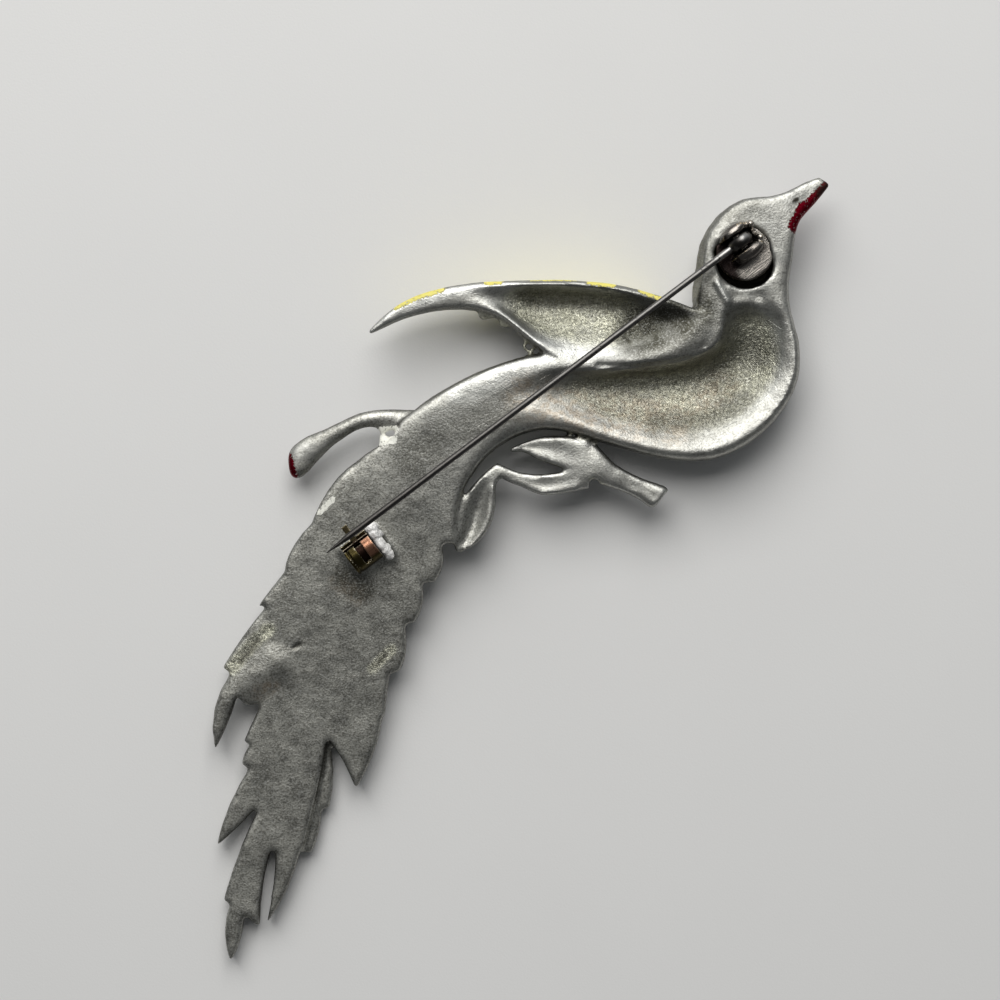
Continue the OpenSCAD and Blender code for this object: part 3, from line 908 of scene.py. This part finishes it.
# Traces of enamel
YELLOW = (
    Patch(((-13.3, 29.3), (-11.0, 30.3), (-8.5, 31.1)), 0.3, 0.5),
    Patch(((-3.4, 31.75), (-2.0, 31.85)), 0.2, 0.4),
    Patch(((1.4, 32.1), (6.3, 32.1)), 0.03, 0.4),
    Patch(((7.9, 31.9), (10.3, 31.6)), 0.3, 0.4),
    Patch(((13.4, 30.8), (15.6, 29.9)), 0.1, 0.4),
    Patch(WING_EDGE, 3.0, 0.8, Side.FRONT),
)
RED = (
    Patch(((30.3, 37.9), (31.3, 39.9)), 0.55, 0.55),
    Patch(((31.3, 39.9), (31.8, 40.4), (33.9, 42.4)), 0.3, 0.5),
    Patch(((29.5, 37.5), (33.9, 42.8)), 1.8, 0.8, Side.FRONT),
    Patch(BRANCH_END, 0.3, 0.4),
    Patch(BRANCH_END, 1.0, 0.5, Side.FRONT),
)
WHITE = (
    Patch(((-15.0, 15.5), (-13.5, 15.6)), 0.35, 0.35),
    Patch(((-15.1, 14.5), (-13.8, 14.6)), 0.5, 0.35),
    Patch(((-20.3, 8.0), (-21.8, 6.5)), 0.24, 0.25),
    Patch(((-20.6, 8.2), (-22.2, 6.2)), 1.2, 0.6, Side.FRONT),
)
# The casting's solder, and its ragged top from the middle of the catch
SOLDER_LINE = ((-16.5, 4.9), (-13.7, 1.4))
SOLDER_LUMPS = (
    Lump((-2.42, -1.45, -0.1), (0.78, 0.72, 1.0)),
    Lump((-2.25, -0.7, 0.1), (0.62, 0.8, 0.85)),
    Lump((-2.2, 0.25, -0.05), (0.52, 0.85, 0.8)),
    Lump((-2.22, 1.15, -0.3), (0.5, 0.8, 0.8)),
    Lump((-2.22, 1.95, -0.85), (0.5, 0.62, 0.9)),
    Lump((-2.6, -0.55, -0.5), (0.45, 0.5, 0.85)),
    Lump((-2.5, 1.2, -0.7), (0.4, 0.45, 0.8)),
)


@dataclass
class Casting:
    """The cast bird: hollowed back, tail feathers, branch, leaves and solder.

    Attributes:
        rivet: axes of the pin's joint.
        catch: axes of the catch.
        rim_rounds: rounds in which the mark of the hollows runs out over their rims.
        skin: size and height of each layer of unevenness, also in solder_skin.
        hollow_z: heights between which a hollow starts, and so on for wall, well and solder.
        plate_off: distance of the joint plate's middle across the pin.
        lip_open: angles between which the lip over the plate is open.
        lip_run_out: degrees over which its ends get thin.
        well_fade: radii over which the painted shadow in the plate's well fades out.
        well_shift: distance of their middle from the plate's.
        well_way: direction in which the painted shadow gets stronger.
        solder_end: distance along the pin where the ragged solder stops.
    """

    rivet: Axes
    catch: Axes
    voxel: float = 0.25
    rounding: int = 9
    tail_rounding: int = 3
    rim_rounds: int = 40
    skin: tuple[tuple[float, float], ...] = ((3.4, 0.1), (1.1, 0.03))
    hollow_z: tuple[float, float] = (6.5, 5.1)
    wall_z: tuple[float, float] = (6.4, 5.2)
    wall_enamel: float = 0.85
    plate_off: float = 1.1
    lip_r: float = 3.3
    lip_half: tuple[float, float] = (0.62, 0.3)
    lip_z: float = 6.72
    lip_open: tuple[float, float] = (-160.0, -48.0)
    lip_run_out: float = 45.0
    lip_drop: float = 0.35
    well_fade: tuple[float, float] = (4.1, 3.7)
    well_shift: float = 0.35
    well_z: tuple[float, float] = (6.75, 6.45)
    well_way: Point = (-0.35, -0.94)
    solder_voxel: float = 0.08
    solder_rounding: int = 8
    solder_skin: tuple[tuple[float, float], ...] = ((0.7, 0.3), (0.3, 0.2))
    solder_end: float = -1.69
    solder_z: tuple[float, float] = (5.75, 6.1)

    def build(self, node: Piece) -> None:
        """Builds the casting from the frame's node.

        Args:
            node: the casting of the frame.
        """
        piece = copy_in_millimetres(node, "bird_casting")
        join(piece, [self.lip()])
        remesh(piece, self.voxel, self.rounding)
        self.wear_tail(piece)
        self.roughen(piece, self.skin)
        self.press(piece)
        self.paint_metal(piece)
        self.paint_dirt_and_shade(piece)
        self.paint_enamel(piece)
        metal = CastFinish().material()
        piece.data.materials.append(metal)
        finish_piece(piece, "brooch", ("casting",))
        self.build_solder(metal)

    def build_solder(self, metal: bpy.types.Material) -> None:
        """Models the ragged top of the solder that holds the catch.

        Args:
            metal: the casting's material.
        """
        piece, *others = [ball(self.catch, lump) for lump in SOLDER_LUMPS]
        piece.name = "catch_solder"
        join(piece, others)
        remesh(piece, self.solder_voxel, self.solder_rounding)
        self.roughen(piece, self.solder_skin)
        co, _ = points(piece)
        along, _ = self.catch.spread(co)
        back = np.minimum(along, self.solder_end) - along
        co[:, :2] += back[:, None] * np.array(self.catch.along)
        move_points(piece, co)
        store(piece, "solder", np.ones(len(co)))
        piece.data.materials.append(metal)
        finish_piece(piece, "brooch", ())

    def lip(self) -> Piece:
        """Models the rolled metal that laps over the joint plate, open at the lower right.

        Returns:
            The lip, a flattened ring with a stretch cut out and its ends closed.
        """
        wide, high = self.lip_half
        at = (*self.rivet.place((0, self.plate_off, 0)).xy, self.lip_z)
        bpy.ops.mesh.primitive_torus_add(
            major_segments=96, minor_segments=14, major_radius=self.lip_r, minor_radius=wide,
            location=at)
        ring = bpy.context.active_object
        ring.scale.z = high / wide
        bpy.ops.object.transform_apply(location=False, rotation=False, scale=True)
        co, _ = points(ring)
        start, end = self.lip_open
        outer = self.lip_r + wide
        angle = np.degrees(np.arctan2(co[:, 1], co[:, 0]))
        share = np.minimum((start - angle) % 360, (angle - end) % 360) / self.lip_run_out
        share = np.minimum(share, 1)
        away = np.hypot(co[:, 0], co[:, 1])
        co[:, :2] *= ((outer + (away - outer) * share) / away)[:, None]
        co[:, 2] -= self.lip_drop * (1 - share)
        move_points(ring, co)
        edit(ring, bpy.ops.mesh.delete, (start < angle) & (angle < end), type="VERT")
        edit(ring, bpy.ops.mesh.fill_holes, sides=0)
        edit(ring, bpy.ops.mesh.normals_make_consistent)
        bpy.ops.object.transform_apply()
        return ring

    def wear_tail(self, piece: Piece) -> None:
        """Softens the edges of the tail and the branch more than those of the body.

        Args:
            piece: the remeshed casting.
        """
        co, _ = points(piece)
        group = weigh(piece, "tail", smooth_step(toward_head(co), 2, -6), 0.01)
        apply_modifier(piece, "SMOOTH", iterations=self.tail_rounding, vertex_group=group)
        piece.vertex_groups.clear()

    @staticmethod
    def roughen(piece: Piece, layers: tuple[tuple[float, float], ...]) -> None:
        """Gives the skin the soft unevenness of a casting.

        Args:
            piece: the remeshed piece.
            layers: size and height of each layer of unevenness.
        """
        for size, height in layers:
            texture = bpy.data.textures.new("cast_skin", "CLOUDS")
            texture.noise_scale = size
            texture.noise_depth = 2
            apply_modifier(piece, "DISPLACE", texture=texture, strength=height)

    def press(self, piece: Piece) -> None:
        """Presses ridges and grooves into the back.

        Args:
            piece: the remeshed casting.
        """
        co, normal = points(piece)
        up = smooth_step(normal[:, 2], 0.2, 0.7)
        for index, stroke in enumerate(STROKES):
            fade = 1 - smooth_step(line_distance(co, stroke.line), 0, stroke.width)
            group = weigh(piece, f"stroke_{index}", fade * up, 0.001)
            apply_modifier(
                piece, "DISPLACE", direction="Z", strength=stroke.height, mid_level=0.0,
                vertex_group=group)
        piece.vertex_groups.clear()

    def paint_metal(self, piece: Piece) -> None:
        """Stores where the metal is worn and where highlights are painted, where it is hollow and
        where it is brown.

        Args:
            piece: the pressed casting.
        """
        co, normal = points(piece)
        up = normal[:, 2]
        inside = smooth_step(co[:, 2], *self.hollow_z)
        inside *= smooth_step(up, 0.0, 0.3) * smooth_step(toward_head(co), 2, 8)
        inside *= 1 - cover(co, normal, BRANCH)
        rim = smooth_step(spread_out(piece, inside, self.rim_rounds), 0.03, 0.25) * (1 - inside)
        # Rubbed rims and patches, some of them painted highlights on lit ridges
        wear_and_highlight = np.maximum(rim * smooth_step(up, 0.2, 0.6), cover(co, normal, RUBBED_AND_HIGHLIGHTED))
        handled = smooth_step(toward_head(co), -12, 8) * 0.35 + 0.05
        store(piece, "wear_and_highlight", np.maximum(wear_and_highlight, handled))
        store(piece, "hollow", np.maximum(inside, cover(co, normal, GROOVES)))
        store(piece, "brown", cover(co, normal, BROWNED))

    def paint_dirt_and_shade(self, piece: Piece) -> None:
        """Stores where the casting is tarnished, grimy or painted with shade: on the side walls, in
        patches and most of all, as a black painted shadow, in the plate's well.

        Args:
            piece: the pressed casting.
        """
        co, normal = points(piece)
        up = normal[:, 2]
        # Black painted shadow in the plate's well, strongest on its lower side
        away = co[:, :2] - np.array(self.rivet.place((0, self.plate_off, 0)).xy)
        well = smooth_step(np.hypot(away[:, 0], away[:, 1] + self.well_shift), *self.well_fade)
        well *= smooth_step(co[:, 2], *self.well_z)
        well *= smooth_step(away @ np.array(self.well_way), -1.5, 1.0)
        well *= smooth_step(up, -0.4, -0.1)
        # Side walls darkened: painted shade, with some tarnish
        side = smooth_step(up, 0.62, 0.25) * smooth_step(up, -0.75, -0.35)
        store(piece, "shade_and_tarnish", np.maximum(0.85 * side, cover(co, normal, SHADED_AND_TARNISHED)))
        store(piece, "grime_and_shade", np.maximum(cover(co, normal, DARK_PATCHES), well))

    def paint_enamel(self, piece: Piece) -> None:
        """Stores where traces of enamel are left and where the solder is.

        Args:
            piece: the pressed casting.
        """
        co, normal = points(piece)
        wall = smooth_step(line_distance(co, WING_EDGE), 2.0, 1.2)
        wall *= smooth_step(normal[:, 1], 0.1, 0.5)
        wall *= smooth_step(co[:, 2], *self.wall_z)
        traces = cover(co, normal, YELLOW)
        store(piece, "yellow", np.maximum(self.wall_enamel * wall, traces))
        store(piece, "red", cover(co, normal, RED))
        store(piece, "white", cover(co, normal, WHITE))
        solder = smooth_step(line_distance(co, SOLDER_LINE), 1.0, 0.7)
        store(piece, "solder", solder * smooth_step(co[:, 2], *self.solder_z))


@dataclass(frozen=True)
class Ears:
    """The plate's two ears: thin flat cores with lumps that round them.

    Attributes:
        lumps: the lumps.
        low: height from which a point belongs to an ear, seen from the rivet.
        start: distance along the pin from which it does.
        outer: distance across the pin up to which it does.
        middle: distance of an ear's middle across the pin.
        core: distance of its core's middle.
        thin: share of its thickness that the core keeps.
    """

    lumps: tuple[Lump, ...]
    low: float = -1.9
    start: float = -1.55
    outer: float = 1.6
    middle: float = 1.125
    core: float = 1.2
    thin: float = 0.3


@dataclass(frozen=True)
class Eye:
    """The pin's rounded eye, which turns on the rivet in the place of a plain drum.

    Attributes:
        radius: its outer radius.
        half: half its width.
        hole: radius of its hole.
        inset: how far the wire's end reaches into it.
        near: distance within which a point counts as on the drum.
    """

    radius: float = 1.42
    half: float = 0.66
    hole: float = 0.5
    inset: float = 0.3
    near: float = 0.03


@dataclass
class Finding:
    """A pressed or drawn piece of the pin and catch, with softened edges.

    Attributes:
        node: the frame's node that it stands for.
        edge: width of its bevels, where it isn't remeshed.
        voxel: size of its faces, where it is, with rounding rounds of smoothing.
    """

    node: str
    name: str
    body: str
    finish: PlainMetal
    axes: Axes
    edge: float = 0.0
    voxel: float = 0.0
    rounding: int = 0
    ears: Ears | None = None
    eye: Eye | None = None

    def build(self, node: Piece) -> None:
        """Builds the piece from the frame's node.

        Args:
            node: the node of the frame.
        """
        piece = copy_in_millimetres(node, self.name)
        if self.ears:
            self.thin_ears(piece, self.ears)
            join(piece, [ball(self.axes, lump) for lump in self.ears.lumps])
        if self.eye:
            self.put_eye(piece, self.eye)
        if self.voxel:
            remesh(piece, self.voxel, self.rounding)
        else:
            self.soften(piece)
        self.paint(piece)
        piece.data.materials.append(self.finish.material())
        finish_piece(piece, self.body, (self.node,))

    def thin_ears(self, piece: Piece, ears: Ears) -> None:
        """Thins the ears that stand on the plate to cores for the lumps that round them.

        Args:
            piece: the copied plate.
            ears: their sizes.
        """
        co, _ = points(piece)
        along, across = self.axes.spread(co)
        off = np.abs(across)
        chosen = (co[:, 2] > self.axes.middle[2] + ears.low) & (along > ears.start)
        thinned = np.sign(across) * (ears.core + ears.thin * (off - ears.middle))
        shift = np.where(chosen & (off < ears.outer), thinned - across, 0.0)
        co[:, :2] += shift[:, None] * np.array(self.axes.across)
        move_points(piece, co)

    def soften(self, piece: Piece) -> None:
        """Merges flat faces and rounds the edges.

        Args:
            piece: the copied node.
        """
        edit(piece, bpy.ops.mesh.dissolve_limited, angle_limit=math.radians(1))
        apply_modifier(piece, "BEVEL", width=self.edge, segments=3, limit_method="ANGLE",
                       angle_limit=CREASE)
        bpy.ops.object.shade_smooth_by_angle(angle=CREASE)

    def put_eye(self, piece: Piece, eye: Eye) -> None:
        """Puts the rounded eye in the place of the pin's plain drum.

        Args:
            piece: the merged pin.
            eye: sizes of the drum and of the eye.
        """
        reach = eye.radius + eye.near
        co, _ = points(piece)
        along, across = self.axes.spread(co)
        away = np.hypot(along, co[:, 2] - self.axes.middle[2])
        drum = (np.abs(np.abs(across) - eye.half) < eye.near) & (away < reach)
        edit(piece, bpy.ops.mesh.delete, drum, type="VERT")
        along, _ = self.axes.spread(points(piece)[0])
        shift = (*(-eye.inset * part for part in self.axes.along), 0)
        edit(piece, bpy.ops.transform.translate, along < reach, value=shift)
        edit(piece, bpy.ops.mesh.fill_holes, sides=0)
        bpy.ops.mesh.primitive_torus_add(
            major_segments=48, minor_segments=20, major_radius=(eye.radius + eye.hole) / 2,
            minor_radius=(eye.radius - eye.hole) / 2, location=self.axes.middle)
        ring = bpy.context.active_object
        ring.scale.z = 2 * eye.half / (eye.radius - eye.hole)
        across_way = Vector((*self.axes.across, 0))
        ring.rotation_euler = across_way.to_track_quat("Z", "Y").to_euler()
        bpy.ops.object.transform_apply()
        join(piece, [ring])

    def paint(self, piece: Piece) -> None:
        """Stores where the second colour of the finish goes.

        Args:
            piece: the piece.
        """
        along, across = self.axes.spread(points(piece)[0])
        share = np.zeros(len(along))
        for zone in self.finish.zones:
            share = np.maximum(share, zone.cover(along, across))
        store(piece, "zone", share)


@dataclass
class Studio:
    """Pale floor, soft light from behind the head, and the camera above.

    Attributes:
        room_way: heights towards the head between which the room gets lighter.
        room_light: its strength at both ends.
        clip: nearest and farthest distance that the camera sees, in metres.
    """

    floor_side: float = 1600.0
    floor_colour: Colour = (0.72, 0.72, 0.715)
    window_at: Place = (-67.0, 353.0, 429.0)
    window_side: float = 480.0
    window_power: float = 3.3
    window_colour: Colour = (1.0, 0.985, 0.96)
    room_colour: Colour = (0.95, 0.98, 1.0)
    room_way: tuple[float, float] = (0.05, 0.9)
    room_light: tuple[float, float] = (0.1, 0.62)
    camera_at: Place = (-1.98, 7.92, 305.0)
    lens: float = 98.2
    sensor: float = 36.0
    clip: tuple[float, float] = (0.01, 20.0)

    def build(self) -> None:
        """Builds floor, light and camera."""
        self.build_floor()
        self.build_window()
        self.build_room()
        self.build_camera()

    def build_floor(self) -> None:
        """Lays the floor under the brooch."""
        bpy.ops.mesh.primitive_plane_add(size=self.floor_side * MM)
        floor = bpy.context.active_object
        floor.name = "floor"
        recipe = Recipe("pale_floor")
        darker = tinted(self.floor_colour, 0.97)
        tint = recipe.mix(recipe.noise(0.05, 3), self.floor_colour, darker)
        recipe.surface(tint, 0.85, 0.0, recipe.bump(recipe.noise(4, 2), 0.01))
        floor.data.materials.append(recipe.material)

    def build_window(self) -> None:
        """Hangs a large soft window beyond the head, turned to the brooch."""
        data = bpy.data.lights.new("window", "AREA")
        data.shape = "SQUARE"
        data.size = self.window_side * MM
        data.energy = self.window_power
        data.color = self.window_colour
        light = add_object("window", data)
        at = Vector(self.window_at)
        light.location = at * MM
        light.rotation_euler = (-at).to_track_quat("-Z", "Y").to_euler()

    def build_room(self) -> None:
        """Puts a room round the brooch that is light beyond the head and dark elsewhere."""
        world = bpy.data.worlds.new("room")
        bpy.context.scene.world = world
        world.use_nodes = True
        nodes, links = world.node_tree.nodes, world.node_tree.links
        way = nodes.new("ShaderNodeTexCoord")
        split = nodes.new("ShaderNodeSeparateXYZ")
        ramp = nodes.new("ShaderNodeMapRange")
        links.new(way.outputs["Generated"], split.inputs["Vector"])
        links.new(split.outputs["Y"], ramp.inputs["Value"])
        ramp.interpolation_type = "SMOOTHSTEP"
        for socket, number in zip(ramp.inputs[1:5], (*self.room_way, *self.room_light)):
            socket.default_value = number
        links.new(ramp.outputs["Result"], nodes["Background"].inputs["Strength"])
        nodes["Background"].inputs["Color"].default_value = (*self.room_colour, 1)
        bpy.context.scene.view_settings.view_transform = "Standard"

    def build_camera(self) -> None:
        """Hangs the camera over the brooch, looking straight down."""
        data = bpy.data.cameras.new("camera")
        data.lens = self.lens
        data.sensor_width = self.sensor
        data.clip_start, data.clip_end = self.clip
        camera = add_object("camera", data)
        camera.location = Vector(self.camera_at) * MM
        bpy.context.scene.camera = camera


# The edge colours below are worn edges painted light as edge highlights
DARK_STEEL = PlainMetal(
    "dark_steel", base=(0.024, 0.018, 0.017), stain=(0.014, 0.01, 0.009),
    edge=(0.55, 0.45, 0.31), rough=0.25, grain=0.012, stained=0.1,
    second=(0.46, 0.43, 0.39), drawn=0.8, edge_from=0.522,
    zones=(Zone((-3.3, 1.9), (2.3, 3.9), 0.5), Zone((-3.1, -2.2), (0.9, 3.0), 0.4, 0.8),
           Zone((-1.7, 1.2), (0.75, 2.1), 0.2, 0.35), Zone((-1.9, 1.0), (-1.8, -0.75), 0.2, 0.5),
           Zone((-2.7, -1.55), (-1.6, 1.6), 0.15, 0.9)))
# Its last zone is a painted highlight on the top of the pin's eye
PIN_WIRE = PlainMetal(
    "pin_wire", base=(0.03, 0.027, 0.025), stain=(0.03, 0.028, 0.026),
    edge=(0.12, 0.115, 0.11), rough=0.36, grain=0.001, stained=0.05,
    second=(0.33, 0.325, 0.315), drawn=0.0,
    zones=(Zone((1.3, 45.0), soft=0.25, full=0.38), Zone((45.0, 90.0), full=0.1),
           Zone((1.3, 3.4), soft=0.12), Zone((-1.2, -0.1), (-0.5, 0.1), 0.3)))
AGED_BRASS = PlainMetal(
    "aged_brass", base=(0.05, 0.04, 0.015), stain=(0.022, 0.017, 0.008),
    edge=(0.66, 0.6, 0.45), rough=0.3, grain=0.006, stained=0.12,
    second=(0.4, 0.205, 0.13), edge_from=0.525,
    zones=(Zone((-1.8, -0.45), (-1.3, 1.0), 0.25),))
DARK_BRASS = PlainMetal(
    "coppery_brass", base=(0.022, 0.012, 0.009), stain=(0.012, 0.008, 0.006),
    edge=(0.55, 0.48, 0.36), rough=0.4, grain=0.006, stained=0.12,
    second=(0.07, 0.058, 0.03), edge_from=0.515,
    zones=(Zone((-1.0, 1.0), (-4.0, -1.5)),))
EARS = Ears((
    Lump((-0.05, -1.33, -0.6), (1.85, 0.55, 1.7)), Lump((-0.2, 1.48, -0.6), (1.95, 0.7, 1.7)),
    Lump((-0.1, -1.36, 0.46), (1.45, 0.6, 0.64)), Lump((-0.3, 1.52, 0.46), (1.6, 0.74, 0.66)),
    Lump((-2.02, -0.9, 0.0), (0.46, 0.52, 0.72)), Lump((-2.02, 0.92, 0.0), (0.46, 0.54, 0.72)),
))


def findings(rivet: Axes, catch: Axes) -> tuple[Finding, ...]:
    """Lists the pieces of the pin and the catch.

    Args:
        rivet: axes of the pin's joint.
        catch: axes of the catch.

    Returns:
        The pieces.
    """
    return (
        Finding("joint_plate", "joint_cup", "brooch", DARK_STEEL, rivet, voxel=0.09, rounding=9,
                ears=EARS),
        Finding("joint_rivet", "joint_pivot", "brooch", DARK_STEEL, rivet, edge=0.06),
        Finding("pin_stem", "pin", "pin", PIN_WIRE, rivet, edge=0.04, eye=Eye()),
        Finding("catch_barrel", "catch_case", "brooch", AGED_BRASS, catch, voxel=0.06, rounding=4),
        Finding("catch_rotor", "catch_tube", "catch", DARK_BRASS, catch, voxel=0.06, rounding=3),
    )


def main() -> None:
    """Builds the brooch's looks and the studio round it."""
    logging.basicConfig(level=logging.INFO, format="%(name)s %(message)s")
    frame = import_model()
    Studio().build()
    rivet = Axes.of_joint(frame["record"], "pin_hinge", PIN_WAY)
    catch = Axes.of_joint(frame["record"], "catch_turn", PIN_WAY)
    Casting(rivet, catch).build(frame["nodes"]["casting"])
    for finding in findings(rivet, catch):
        finding.build(frame["nodes"][finding.node])


if __name__ == "__main__":
    main()
